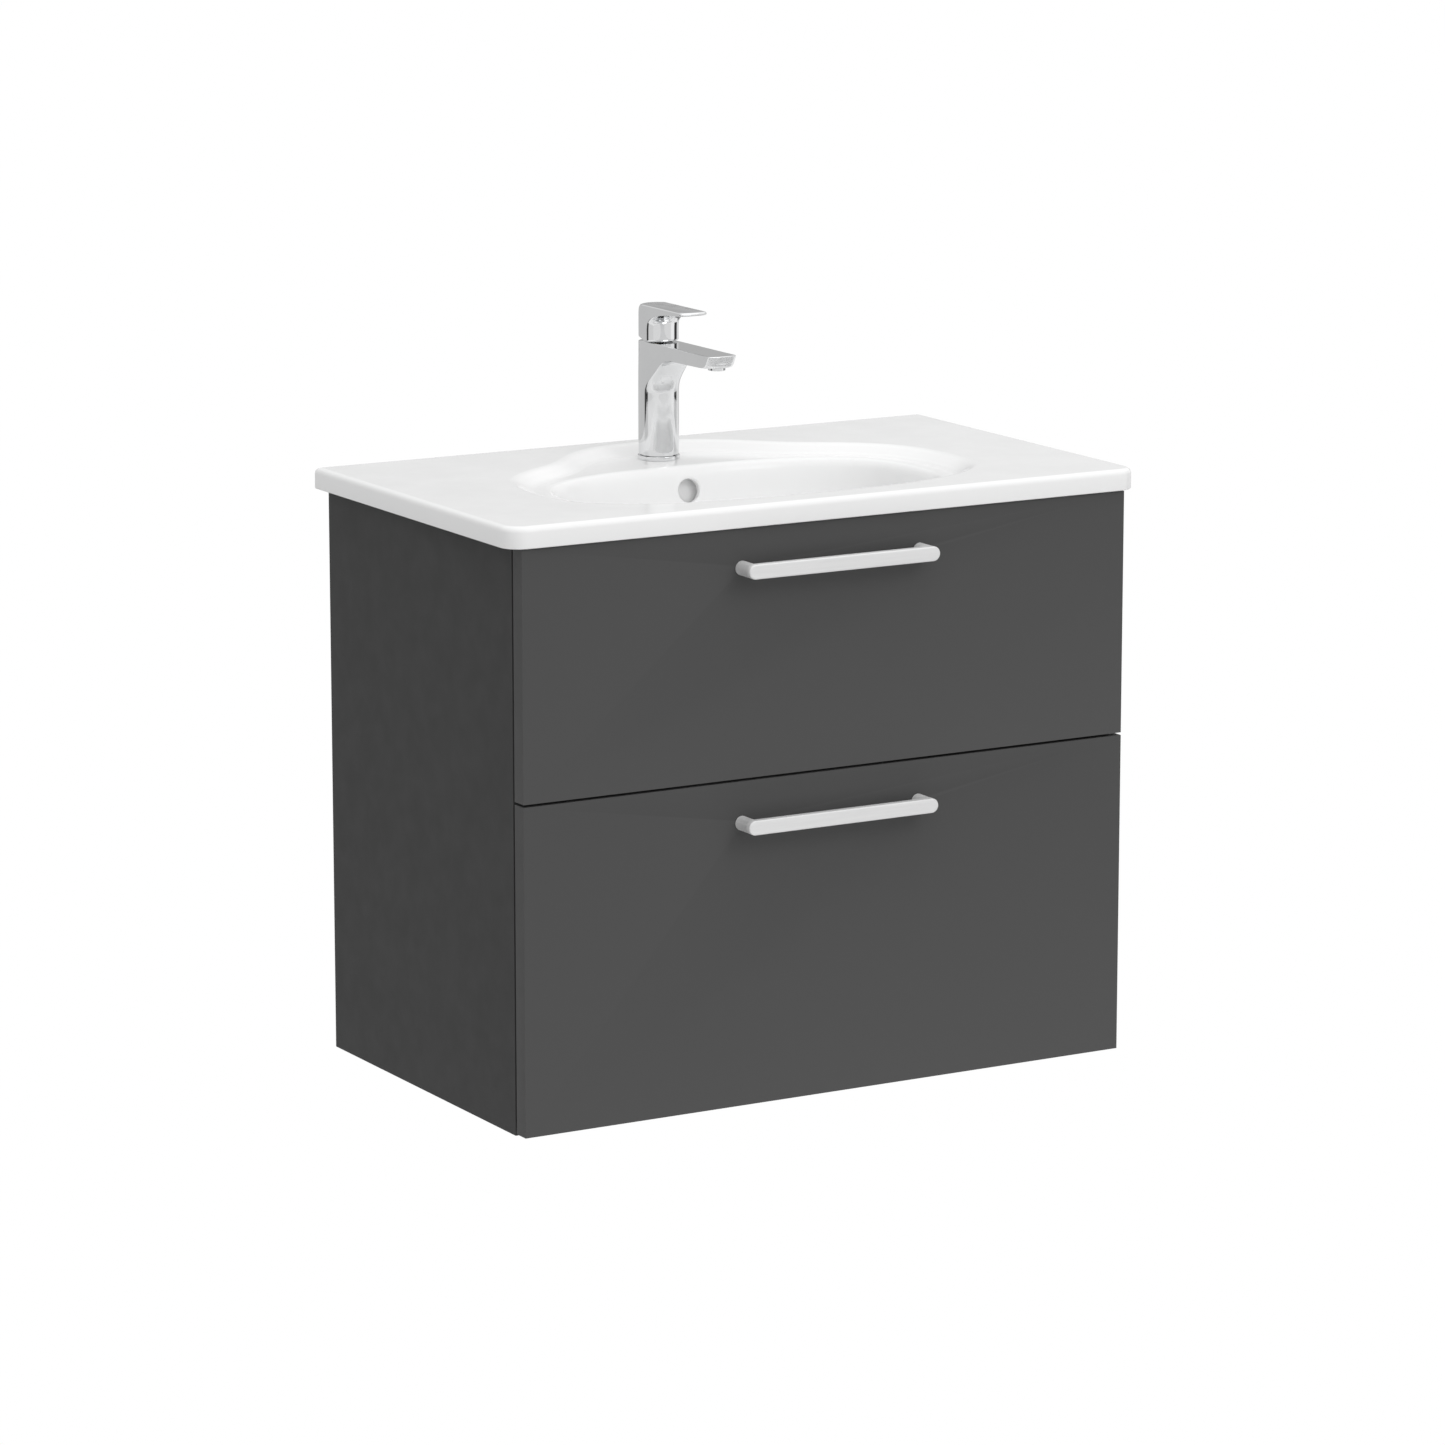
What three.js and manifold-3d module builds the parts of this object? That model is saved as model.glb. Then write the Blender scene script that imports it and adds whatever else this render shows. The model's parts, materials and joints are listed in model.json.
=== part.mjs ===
// Wall-hung bathroom vanity cabinet with a ceramic basin, a single-lever tap and two drawers.
// Millimetres, +Z up, the wall is the plane y = 0 and the drawers open towards -Y.
// Heights are given above the underside of the carcass; the finished group is lowered so that
// the origin is the centre of the wall rail's rear face.
import * as THREE from 'three';
import * as BufferGeometryUtils from 'three/addons/utils/BufferGeometryUtils.js';
import Module from 'manifold-3d';

const wasm = await Module();
wasm.setup();

// ---------------------------------------------------------------- driving dimensions
const BASIN_WIDTH = 800;
const BASIN_DEPTH = 468;
const SLAB_THICKNESS = 24;
const CARCASS_WIDTH = 764;
const CARCASS_DEPTH = 438;
const CARCASS_HEIGHT = 650;
const PANEL = 16;                 // carcass board thickness
const FRONT_WIDTH = 766;
const FRONT_THICKNESS = 20;
const FRONT_AIR = 5;              // between the carcass edges and the closed drawer fronts
const LOWER_FRONT = [3, 369];     // bottom and top edge heights
const UPPER_FRONT = [372, 648.8];
const RAIL_HEIGHT = 590;          // wall rail centre above the carcass underside
const GAP = 0.3;                  // clearance kept between touching turned or cut pieces
const CROSS_RAIL_HEIGHT = 60;
const REAR_RAILS = { front: -34, back: -18, upper: [478, 560], lower: [0, 96] };
const HANGER = { width: 22, slot: 12.6 };

const INNER_HALF = CARCASS_WIDTH / 2 - PANEL;
const CARCASS_FRONT = -CARCASS_DEPTH;
const FRONT_BACK = CARCASS_FRONT - FRONT_AIR;
const FRONT_FACE = FRONT_BACK - FRONT_THICKNESS;
const DECK = CARCASS_HEIGHT + SLAB_THICKNESS;

// basin bowl
const RECESS = { a: 272, rear: 182, front: 147, n: 2.6 };             // outline of the soft oval recess
const BOWL = { cy: -283, a: 224, rear: 141, front: 125, n: 2.7 };     // rim of the bowl inside the recess
const TAP_BAY = { depth: 80, halfWidth: 115 };         // bulge of the recess behind the tap
const STEP_WIDTH = 30;            // soft step from the deck down to the ledge
const LEDGE_DROP = 11;            // tap ledge below the deck
const BOWL_DEPTH = 128;           // waste flange seat below the deck
const BOWL_WALL = 10;
const WASTE_HOLE_RADIUS = 22.6;

// tap
const TAP_Y = -79;
const LEDGE = DECK - LEDGE_DROP;
const TAP_RADIUS = 23.2;
const BODY_HEIGHT = 136;          // flat top of the body and spout above the ledge
const SPOUT_REACH = 149;
const SPOUT_HALF = 17.5;
const AERATOR_REACH = 133;
const LEVER_REACH = 85;
const LEVER_TOP = 177.7;
const LEVER_PIVOT = 134;          // the lever swivels and tilts about this height

// overflow
const OVERFLOW_HEIGHT = 635.5;
const OVERFLOW_Y = -149;          // bowl face of the rear wall at that height
const OVERFLOW_TILT = Math.atan2(5, 29);   // lean of the rear wall
const OVERFLOW_RADIUS = 13.3;
const DUCT = { halfWidth: 17, front: 6, back: 13, shell: 20, shellHalfWidth: 24 };

// handles
const HANDLE_HALF_SPAN = 113;     // centre to centre of the legs, halved
const HANDLE_RADIUS = 8.2;
const HANDLE_PROJECTION = 31;
const HANDLE_BAR = 9;
const UPPER_HANDLE_Z = 605.5;
const LOWER_HANDLE_Z = 322.5;

// drawers and runners
const RUNNER_LENGTH = 400;
const RUNNER_GAUGE = 1.2;
const BOX_BOARD = 12;
const BOX_HALF = INNER_HALF - 13;                      // outer face of a drawer side
const BOX_BACK = -43;
const UPPER_BOX = { bottom: 384, top: 520, runner: 422 };
const LOWER_BOX = { bottom: 30, top: 230, runner: 70 };
const BOX_BOTTOM = 8;
const CUTOUT_HALF = 92;           // siphon cut-out in the upper drawer
const CUTOUT_FRONT = -330;
const SURROUND_WALL = 3;

// ---------------------------------------------------------------- materials
const COLOURS = {
  anthracite: [0x505050, 0.6, 0],
  drawerGrey: [0x8d8f90, 0.7, 0],
  ceramic: [0xf2f2f1, 0.15, 0],
  chrome: [0xd9dbdd, 0.08, 1],
  satin: [0xdededd, 0.5, 0.3],
  zinc: [0xb4b8ba, 0.35, 0.9],
  brass: [0xb08d4a, 0.35, 1],
  rubber: [0x202020, 0.85, 0],
  plastic: [0xa9abac, 0.5, 0],
};
const materials = {};
for (const [name, [color, roughness, metalness]] of Object.entries(COLOURS)) {
  materials[name] = new THREE.MeshStandardMaterial({ color, roughness, metalness });
}

// ---------------------------------------------------------------- geometry helpers
function bare(geometry) {
  const copy = geometry.clone();
  copy.deleteAttribute('normal');
  copy.deleteAttribute('uv');
  return BufferGeometryUtils.mergeVertices(copy, 1e-4);
}

function toSolid(geometry) {
  const clean = bare(geometry);
  return new wasm.Manifold(new wasm.Mesh({
    numProp: 3,
    vertProperties: new Float32Array(clean.attributes.position.array),
    triVerts: new Uint32Array(clean.index.array),
  }));
}

function toGeometry(solid) {
  const mesh = solid.getMesh();
  const geometry = new THREE.BufferGeometry();
  geometry.setAttribute('position', new THREE.BufferAttribute(mesh.vertProperties, 3));
  geometry.setIndex(new THREE.BufferAttribute(mesh.triVerts, 1));
  geometry.computeVertexNormals();
  return geometry;
}

// Box from its lowest to its highest corner.
function block([x0, y0, z0], [x1, y1, z1]) {
  const geometry = new THREE.BoxGeometry(x1 - x0, y1 - y0, z1 - z0);
  return geometry.translate((x0 + x1) / 2, (y0 + y1) / 2, (z0 + z1) / 2);
}

// Upright cylinder or cone on the axis (x, y) from z0 to z1.
function post(x, y, z0, z1, radius, topRadius = radius, sides = 28) {
  const geometry = new THREE.CylinderGeometry(topRadius, radius, z1 - z0, sides);
  return geometry.rotateX(Math.PI / 2).translate(x, y, (z0 + z1) / 2);
}

// Cylinder along Y at (x, z), from y0 to y1.
function pinY(x, z, y0, y1, radius, sides = 16) {
  const geometry = new THREE.CylinderGeometry(radius, radius, y1 - y0, sides);
  return geometry.translate(x, (y0 + y1) / 2, z);
}

// Solid of revolution about the upright axis (x, y); the profile is [radius, height] pairs,
// and is walked so that the faces point outwards.
function turned(x, y, profile, segments = 28) {
  const points = profile.map(([r, z]) => new THREE.Vector2(r, z));
  if (THREE.ShapeUtils.area(points) < 0) {
    points.reverse();
  }
  return new THREE.LatheGeometry(points, segments).rotateX(Math.PI / 2).translate(x, y, 0);
}

// Flat outline of [a, b] pairs, extruded by a length along +Z of its own plane.
function extruded(outline, depth) {
  const shape = new THREE.Shape(outline.map(([a, b]) => new THREE.Vector2(a, b)));
  return new THREE.ExtrudeGeometry(shape, { depth, bevelEnabled: false });
}

// Outline in the (x, z) plane extruded along Y between y0 and y1.
function alongY(outline, y0, y1) {
  return extruded(outline, y1 - y0).rotateX(Math.PI / 2).translate(0, y1, 0);
}

// Outline in the (y, z) plane extruded along X between x0 and x1.
function alongX(outline, x0, x1) {
  const geometry = extruded(outline, x1 - x0);
  geometry.applyMatrix4(new THREE.Matrix4().set(
    0, 0, 1, x0,
    1, 0, 0, 0,
    0, 1, 0, 0,
    0, 0, 0, 1,
  ));
  return geometry;
}

// Outline in the (x, y) plane extruded upwards between z0 and z1.
function upright(outline, z0, z1) {
  return extruded(outline, z1 - z0).translate(0, 0, z0);
}

function arcPoints(cx, cy, radius, from, to, steps) {
  const points = [];
  for (let i = 0; i <= steps; i += 1) {
    const angle = THREE.MathUtils.degToRad(from + (to - from) * i / steps);
    points.push([cx + radius * Math.cos(angle), cy + radius * Math.sin(angle)]);
  }
  return points;
}

function hexagon(cx, cy, acrossFlats) {
  return arcPoints(cx, cy, acrossFlats / Math.sqrt(3), 0, 300, 5);
}

const vanity = new THREE.Group();
const model = new THREE.Group();
model.position.z = -RAIL_HEIGHT;
vanity.add(model);

function add(name, geometry, material) {
  const mesh = new THREE.Mesh(geometry, materials[material].clone());
  mesh.name = name;
  model.add(mesh);
  return mesh;
}

const SIDES = [['left', -1], ['right', 1]];

// Box given by its extents on the right-hand side, mirrored when side is -1.
function sidedBlock(side, [x0, y0, z0], [x1, y1, z1]) {
  const low = side > 0 ? x0 : -x1;
  const high = side > 0 ? x1 : -x0;
  return block([low, y0, z0], [high, y1, z1]);
}

// ---------------------------------------------------------------- carcass
function carcass() {
  for (const [label, side] of SIDES) {
    const panel = sidedBlock(side, [INNER_HALF, CARCASS_FRONT, 0], [CARCASS_WIDTH / 2, 0, CARCASS_HEIGHT]);
    add(`side_panel_${label}`, panel, 'anthracite');
  }
  const { front, back, upper, lower } = REAR_RAILS;
  add('bottom_panel', block([-INNER_HALF, CARCASS_FRONT, 0], [INNER_HALF, front - 2, PANEL]), 'anthracite');
  add('front_cross_rail', block(
    [-INNER_HALF, CARCASS_FRONT, CARCASS_HEIGHT - CROSS_RAIL_HEIGHT],
    [INNER_HALF, CARCASS_FRONT + PANEL, CARCASS_HEIGHT],
  ), 'anthracite');
  for (const [label, [z0, z1]] of [['upper', upper], ['lower', lower]]) {
    add(`rear_rail_${label}`, block([-INNER_HALF, front, z0], [INNER_HALF, back, z1]), 'anthracite');
  }
}

// ---------------------------------------------------------------- wall hanging
function hanging() {
  const z = RAIL_HEIGHT;
  const rail = [
    [0, z - 15], [0, z + 15], [-8, z + 15], [-8, z + 33],
    [-10, z + 33], [-10, z + 13], [-2, z + 13], [-2, z - 15],
  ];
  add('wall_rail', alongX(rail, -344, 344), 'zinc');

  const hook = [
    [-3.5, z + 18], [-3.5, z + 38], [-40, z + 38], [-40, z + 33.3], [-7, z + 33.3], [-7, z + 18],
  ];
  for (const [label, side] of SIDES) {
    const inner = side > 0 ? INNER_HALF - HANGER.width : -INNER_HALF;
    const outer = inner + HANGER.width;
    const slotInner = (inner + outer - HANGER.slot) / 2;
    const slotOuter = (inner + outer + HANGER.slot) / 2;
    const housing = toSolid(block([inner, -62, z - 20], [outer, -12, z + 46]))
      .subtract(toSolid(block([slotInner, -44, z + 30], [slotOuter, 0, z + 42])));
    add(`hanger_${label}`, toGeometry(housing), 'plastic');
    add(`hanger_hook_${label}`, alongX(hook, slotInner + GAP, slotOuter - GAP), 'zinc');
  }
}

// ---------------------------------------------------------------- basin
// Distance from an oval's centre to its edge; its rear and front halves have depths of their own.
function ovalReach({ a, rear, front, n }, angle) {
  const c = Math.abs(Math.cos(angle) / a) ** n;
  const s = Math.abs(Math.sin(angle) / (Math.sin(angle) > 0 ? rear : front)) ** n;
  return (c + s) ** (-1 / n);
}

// Distance along a ray from (0, cy) to the slab outline, shrunk by an inset, with rounded
// front corners.
function slabReach(cy, angle, inset, frontRadius) {
  const dx = Math.cos(angle);
  const dy = Math.sin(angle);
  const halfWidth = BASIN_WIDTH / 2 - inset;
  const back = -inset;
  const front = -BASIN_DEPTH + inset;
  const radius = frontRadius - inset;
  const toSide = halfWidth / Math.abs(dx);
  const toEnd = Math.abs((dy > 0 ? back - cy : front - cy) / dy);
  const reach = Math.min(toSide, toEnd);
  const cornerX = halfWidth - radius;
  const cornerY = front + radius;
  if (Math.abs(dx) * reach <= cornerX || cy + dy * reach >= cornerY) {
    return reach;
  }
  const px = -cornerX * Math.sign(dx);
  const py = cy - cornerY;
  const along = px * dx + py * dy;
  return -along + Math.sqrt(along * along - (px * px + py * py - radius * radius));
}

const CORNER_RADIUS = 24;
const TOP_ROUND = 7;
const LOW_ROUND = 1.5;
const WASTE_SEAT = DECK - BOWL_DEPTH;
const COLLAR = 16;                // thickness of the floor round the waste hole

// bowl wall as [distance in from the rim, height]
const BOWL_WALL_SECTION = [
  [0, LEDGE - 3], [4, LEDGE - 10], [9, DECK - 50], [17, DECK - 82], [33, DECK - 107], [60, DECK - 119],
];
const BOWL_FLOOR_SECTION = [[54, DECK - 126], [WASTE_HOLE_RADIUS + 10, WASTE_SEAT]];   // [radius, height]

// The rim, recess, bowl wall and waste seat as closed rings of points, from the outside in.
function basinRings(angles) {
  const centre = BOWL.cy;
  const outline = (inset) => angles.map((t) => slabReach(centre, t, inset, CORNER_RADIUS));
  const bay = (r, t) => {
    const x = Math.abs(r * Math.cos(t)) / TAP_BAY.halfWidth;
    return Math.sin(t) > 0 ? r + TAP_BAY.depth * Math.exp(-(x ** 2.5)) : r;
  };
  const recess = angles.map((t) => bay(ovalReach(RECESS, t), t));
  const rim = angles.map((t) => ovalReach(BOWL, t));
  const step = (part) => recess.map((r, i) => r - part * Math.min(STEP_WIDTH, 0.6 * (r - rim[i])));
  const beforeRim = (distance, share) => recess.map(
    (r, i) => rim[i] + Math.min(distance, share * (r - rim[i])),
  );
  const inward = (d) => rim.map((r) => r - d);
  const circle = (radius) => angles.map(() => radius);
  const level = (z) => angles.map(() => z);
  const rings = [];
  const ring = (radii, z) => rings.push({ radii, z });

  ring(outline(LOW_ROUND), level(CARCASS_HEIGHT));
  ring(outline(0), level(CARCASS_HEIGHT + LOW_ROUND));
  for (let i = 0; i <= 3; i += 1) {
    const angle = i / 3 * Math.PI / 2;
    ring(outline(TOP_ROUND * (1 - Math.cos(angle))), level(DECK - TOP_ROUND * (1 - Math.sin(angle))));
  }
  ring(recess, level(DECK));
  ring(step(0.3), level(DECK - 0.2 * LEDGE_DROP));
  ring(step(0.65), level(DECK - 0.76 * LEDGE_DROP));
  ring(step(1), level(LEDGE));
  ring(beforeRim(10, 0.36), level(LEDGE));
  ring(beforeRim(3, 0.14), level(LEDGE - 1));
  for (const [distance, z] of BOWL_WALL_SECTION) {
    ring(inward(distance), level(z));
  }
  for (const [radius, z] of BOWL_FLOOR_SECTION) {
    ring(circle(radius), level(z));
  }
  ring(circle(WASTE_HOLE_RADIUS), level(WASTE_SEAT));
  ring(circle(WASTE_HOLE_RADIUS), level(WASTE_SEAT - COLLAR));
  ring(circle(WASTE_HOLE_RADIUS + 16), level(WASTE_SEAT - COLLAR));
  ring(circle(62), level(DECK - 126 - BOWL_WALL));
  ring(inward(52), level(DECK - 119 - BOWL_WALL));
  ring(inward(22), level(DECK - 107 - BOWL_WALL));
  ring(inward(6), level(DECK - 82 - 8));
  ring(inward(-1), level(DECK - 50 - 4));
  ring(inward(-8), level(CARCASS_HEIGHT - 3));
  ring(inward(-12), level(CARCASS_HEIGHT));
  return rings;
}

function loopAngles() {
  const angles = [];
  const count = 56;
  for (let i = 0; i < count; i += 1) {
    angles.push(i / count * 2 * Math.PI);
  }
  // extra rays through the slab corners
  for (const x of [-1, 1]) {
    angles.push(Math.atan2(-BOWL.cy, x * BASIN_WIDTH / 2));
    for (let i = 0; i <= 5; i += 1) {
      const turn = i / 5 * Math.PI / 2;
      const cornerX = BASIN_WIDTH / 2 - CORNER_RADIUS * (1 - Math.cos(turn));
      const cornerY = -BASIN_DEPTH + CORNER_RADIUS * (1 - Math.sin(turn));
      angles.push(Math.atan2(cornerY - BOWL.cy, x * cornerX));
    }
  }
  const full = 2 * Math.PI;
  return [...new Set(angles.map((t) => Number(((t + full) % full).toFixed(6))))].sort((p, q) => p - q);
}

function ringsToGeometry(rings, angles) {
  const count = angles.length;
  const positions = [];
  for (const { radii, z } of rings) {
    angles.forEach((t, i) => {
      positions.push(radii[i] * Math.cos(t), BOWL.cy + radii[i] * Math.sin(t), z[i]);
    });
  }
  const index = [];
  for (let r = 0; r < rings.length; r += 1) {
    const next = (r + 1) % rings.length;
    for (let i = 0; i < count; i += 1) {
      const j = (i + 1) % count;
      const [a, b, c, d] = [r * count + i, r * count + j, next * count + j, next * count + i];
      index.push(a, b, c, a, c, d);
    }
  }
  const geometry = new THREE.BufferGeometry();
  geometry.setAttribute('position', new THREE.Float32BufferAttribute(positions, 3));
  geometry.setIndex(index);
  return geometry;
}

// Section through the middle of the bowl's rear wall and floor, moved away from the bowl by a
// depth for each point; section points are [distance behind the bowl centre, height].
function behind(section, depths) {
  return section.map(([y, z], i) => {
    const [y0, z0] = section[Math.max(i - 1, 0)];
    const [y1, z1] = section[Math.min(i + 1, section.length - 1)];
    const length = Math.hypot(y1 - y0, z1 - z0);
    return [BOWL.cy + y - (z1 - z0) / length * depths[i], z + (y1 - y0) / length * depths[i]];
  });
}

// Hollow rib down the back of the bowl, which leads from the overflow hole to the waste hole.
function overflowDuct() {
  const section = [
    ...BOWL_WALL_SECTION.map(([distance, z]) => [BOWL.rear - distance, z]),
    ...BOWL_FLOOR_SECTION,
    [WASTE_HOLE_RADIUS - 1, WASTE_SEAT],
  ];
  const everywhere = (depth) => section.map(() => depth);
  const shellDepths = everywhere(DUCT.shell);
  shellDepths.splice(-3, 3, COLLAR + 2, COLLAR, COLLAR);
  const shellNear = section.map(([, z]) => (z > WASTE_SEAT ? 4 : COLLAR - 1));
  const rib = alongX(
    [...behind(section, shellNear), ...behind(section, shellDepths).reverse()],
    -DUCT.shellHalfWidth, DUCT.shellHalfWidth,
  );
  const channel = [[BOWL.rear - 4.7, CARCASS_HEIGHT - 1], ...section.slice(2)];
  const way = alongX(
    [...behind(channel, everywhere(DUCT.front)), ...behind(channel, everywhere(DUCT.back)).reverse()],
    -DUCT.halfWidth, DUCT.halfWidth,
  );
  return { rib: toSolid(rib), way: toSolid(way) };
}

function basin() {
  const angles = loopAngles();
  const { rib, way } = overflowDuct();
  const holeRadius = WASTE_HOLE_RADIUS;
  const wasteHole = post(0, BOWL.cy, WASTE_SEAT - COLLAR - 1, WASTE_SEAT, holeRadius, holeRadius, 48);
  const overflowHole = pinY(0, 0, -25, (DUCT.front + DUCT.back) / 2, OVERFLOW_RADIUS, 32)
    .rotateX(-OVERFLOW_TILT)
    .translate(0, OVERFLOW_Y, OVERFLOW_HEIGHT);
  const shell = toSolid(ringsToGeometry(basinRings(angles), angles))
    .add(rib.subtract(toSolid(wasteHole)))
    .subtract(way)
    .subtract(toSolid(post(0, TAP_Y, CARCASS_HEIGHT - 10, DECK, 17.5)))
    .subtract(toSolid(overflowHole));
  add('basin', toGeometry(shell), 'ceramic');
}

// ---------------------------------------------------------------- waste
function waste() {
  const seat = WASTE_SEAT;
  const under = seat - COLLAR;
  const bore = 19;
  const tube = 22;
  const body = toSolid(turned(0, BOWL.cy, [
    [bore, seat - 78], [bore, seat + 1], [27, seat + 1.6], [32, seat + 1], [32, seat + GAP],
    [tube, seat + GAP], [tube, seat - 78], [bore, seat - 78],
  ]));
  const bridge = toSolid(block([-bore - 1, BOWL.cy - 4, seat - 44], [bore + 1, BOWL.cy + 4, seat - 38]))
    .subtract(toSolid(post(0, BOWL.cy, seat - 50, seat - 30, 4.3, 4.3, 20)));
  const overflowSlot = block([-10, BOWL.cy + 12, seat - 13.2], [10, BOWL.cy + tube + 2, seat - 6.4]);
  add('waste_body', toGeometry(body.add(bridge).subtract(toSolid(overflowSlot))), 'chrome');
  const gasket = [
    [tube + GAP, under - 5], [tube + GAP, under - GAP],
    [34, under - GAP], [34, under - 5], [tube + GAP, under - 5],
  ];
  add('waste_gasket', turned(0, BOWL.cy, gasket), 'rubber');
  const nut = toSolid(upright(hexagon(0, BOWL.cy, 60), under - 15, under - 5 - GAP))
    .subtract(toSolid(post(0, BOWL.cy, under - 20, under, tube + GAP)));
  add('waste_nut', toGeometry(nut), 'zinc');
  const plug = [
    [0, seat - 60], [3.8, seat - 60], [3.8, seat - 4], [bore - 1, seat - 4],
    [bore - 1, seat + 2], [30, seat + 2.4], [30.5, seat + 4], [24, seat + 6.4], [0, seat + 7.4],
  ];
  add('waste_plug', turned(0, BOWL.cy, plug), 'chrome');
}

// ---------------------------------------------------------------- tap
// A wedge with a rounded tip, running forward from the tap axis; the side profile is in (y, z)
// with y measured forwards.
function wedge(profile, reach, halfWidth, tipRadius) {
  const side = alongX(profile.map(([y, z]) => [TAP_Y - y, LEDGE + z]), -halfWidth, halfWidth);
  const corner = reach - tipRadius;
  const inner = halfWidth - tipRadius;
  const plan = [
    [halfWidth, TAP_Y + 30], [-halfWidth, TAP_Y + 30],
    ...arcPoints(-inner, TAP_Y - corner, tipRadius, 180, 270, 4),
    ...arcPoints(inner, TAP_Y - corner, tipRadius, 270, 360, 4),
  ];
  return toSolid(side).intersect(toSolid(upright(plan, LEDGE + 60, LEDGE + 200)));
}

function tapBody() {
  const top = BODY_HEIGHT;
  const column = toSolid(post(0, TAP_Y, LEDGE + 5.3, LEDGE + top, TAP_RADIUS, TAP_RADIUS, 36));
  const spout = wedge([
    [0, top], [0, 84], [22, 84], [27, 98], [35, 108], [42, 114.5], [52, 119], [66, 120.8],
    [144.6, 121.2], [146, 122.6], [SPOUT_REACH, 133], [SPOUT_REACH, top],
  ], SPOUT_REACH, SPOUT_HALF, 8);
  const chamber = post(0, TAP_Y, LEDGE + 90, LEDGE + top + 5, 18);
  const skirt = post(0, TAP_Y, LEDGE - 5, LEDGE + 37, 17.5);
  const stud = post(0, TAP_Y, LEDGE + 30, LEDGE + 60, 4.3, 4.3, 20);
  const socket = post(0, TAP_Y - AERATOR_REACH, LEDGE + 110, LEDGE + 131, 10.4, 10.4, 24);
  const channelLength = AERATOR_REACH - 8;
  const channel = pinY(0, LEDGE + 127.5, TAP_Y - 8 - channelLength, TAP_Y - 8, 4, 12);
  let body = column.add(spout);
  for (const hole of [chamber, skirt, stud, socket, channel]) {
    body = body.subtract(toSolid(hole));
  }
  for (const x of [-9.5, 9.5]) {
    body = body.subtract(toSolid(post(x, TAP_Y + 6, LEDGE + 30, LEDGE + 50, 4.6, 4.6, 20)));
  }
  add('tap_body', toGeometry(body), 'chrome');
}

function tapLever() {
  const pivotY = TAP_Y;
  const hub = toSolid(post(0, pivotY, LEDGE + 137.4, LEDGE + 168, 22.6, 22.6, 36));
  const hood = toSolid(post(0, pivotY, LEDGE + 166, LEDGE + LEVER_TOP, 22.6, 20.5, 36));
  const paddle = wedge([
    [-12, LEVER_TOP - 4], [-12, 165], [20, 165], [30, 169.6], [58, 172.4],
    [78, 173.6], [LEVER_REACH, 175.6], [LEVER_REACH - 1.5, LEVER_TOP], [0, LEVER_TOP],
  ], LEVER_REACH, 18, 7);
  const hollow = post(0, pivotY, LEDGE + 135, LEDGE + 158, 18.2);
  const socket = block([-4.2, pivotY - 4.9, LEDGE + 150], [4.2, pivotY + 4.9, LEDGE + 170]);
  const relief = alongX([
    [pivotY - 4, LEDGE + 136], [pivotY - 4, LEDGE + 137.4],
    [pivotY + 24, LEDGE + 146], [pivotY + 24, LEDGE + 136],
  ], -30, 30);
  const screwHole = pinY(0, LEDGE + 163, pivotY + 4, pivotY + 26, 2.8, 16);
  let lever = hub.add(hood).add(paddle);
  for (const cut of [hollow, socket, relief, screwHole]) {
    lever = lever.subtract(toSolid(cut));
  }
  add('lever', toGeometry(lever), 'chrome');
  const blade = block([-3.9, pivotY - 4.6, LEDGE + LEVER_PIVOT - 3], [3.9, pivotY + 4.6, LEDGE + 169.5]);
  add('lever_spindle', blade, 'brass');
  add('lever_grub_screw', pinY(0, LEDGE + 163, pivotY + 5, pivotY + 16, 2.5, 12), 'zinc');
}

function tap() {
  add('tap_base_ring', turned(0, TAP_Y, [
    [19, LEDGE], [19, LEDGE + 5], [24, LEDGE + 5], [24.4, LEDGE + 4.4], [24.4, LEDGE], [19, LEDGE],
  ], 36), 'chrome');
  tapBody();
  add('aerator', turned(0, TAP_Y - AERATOR_REACH, [
    [0, LEDGE + 119.4], [7.4, LEDGE + 119.4], [8.2, LEDGE + 118.4], [10, LEDGE + 118.8],
    [10, LEDGE + 130], [0, LEDGE + 130],
  ], 24), 'chrome');
  add('cartridge', post(0, TAP_Y, LEDGE + 90.3, LEDGE + 126, 17.6), 'plastic');
  add('cartridge_nut', turned(0, TAP_Y, [
    [12, LEDGE + 126.3], [12, LEDGE + 138.5], [16, LEDGE + 138.5],
    [17.6, LEDGE + 136], [17.6, LEDGE + 126.3], [12, LEDGE + 126.3],
  ]), 'chrome');
  const yokeSlot = block([-4.2, TAP_Y - 9.5, LEDGE + LEVER_PIVOT - 4.8], [4.2, TAP_Y + 9.5, LEDGE + 140]);
  const yoke = toSolid(post(0, TAP_Y, LEDGE + 126.4, LEDGE + 137, 11.6)).subtract(toSolid(yokeSlot));
  add('cartridge_yoke', toGeometry(yoke), 'plastic');
  tapLever();

  const underside = CARCASS_HEIGHT;
  add('tap_stud', post(0, TAP_Y, underside - 50, LEDGE + 58, 4, 4, 16), 'zinc');
  const washer = toSolid(post(0, TAP_Y, underside - 6, underside, 25))
    .subtract(toSolid(post(0, TAP_Y, underside - 8, underside + 2, 4.3, 4.3, 16)))
    .subtract(toSolid(block([-14, TAP_Y + 5.5, underside - 8], [14, TAP_Y + 30, underside + 2])));
  add('tap_washer', toGeometry(washer), 'rubber');
  const nut = toSolid(upright(hexagon(0, TAP_Y, 13), underside - 6 - GAP - 8, underside - 6 - GAP))
    .subtract(toSolid(post(0, TAP_Y, underside - 20, underside, 4.3, 4.3, 16)));
  add('tap_nut', toGeometry(nut), 'brass');
}

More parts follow.
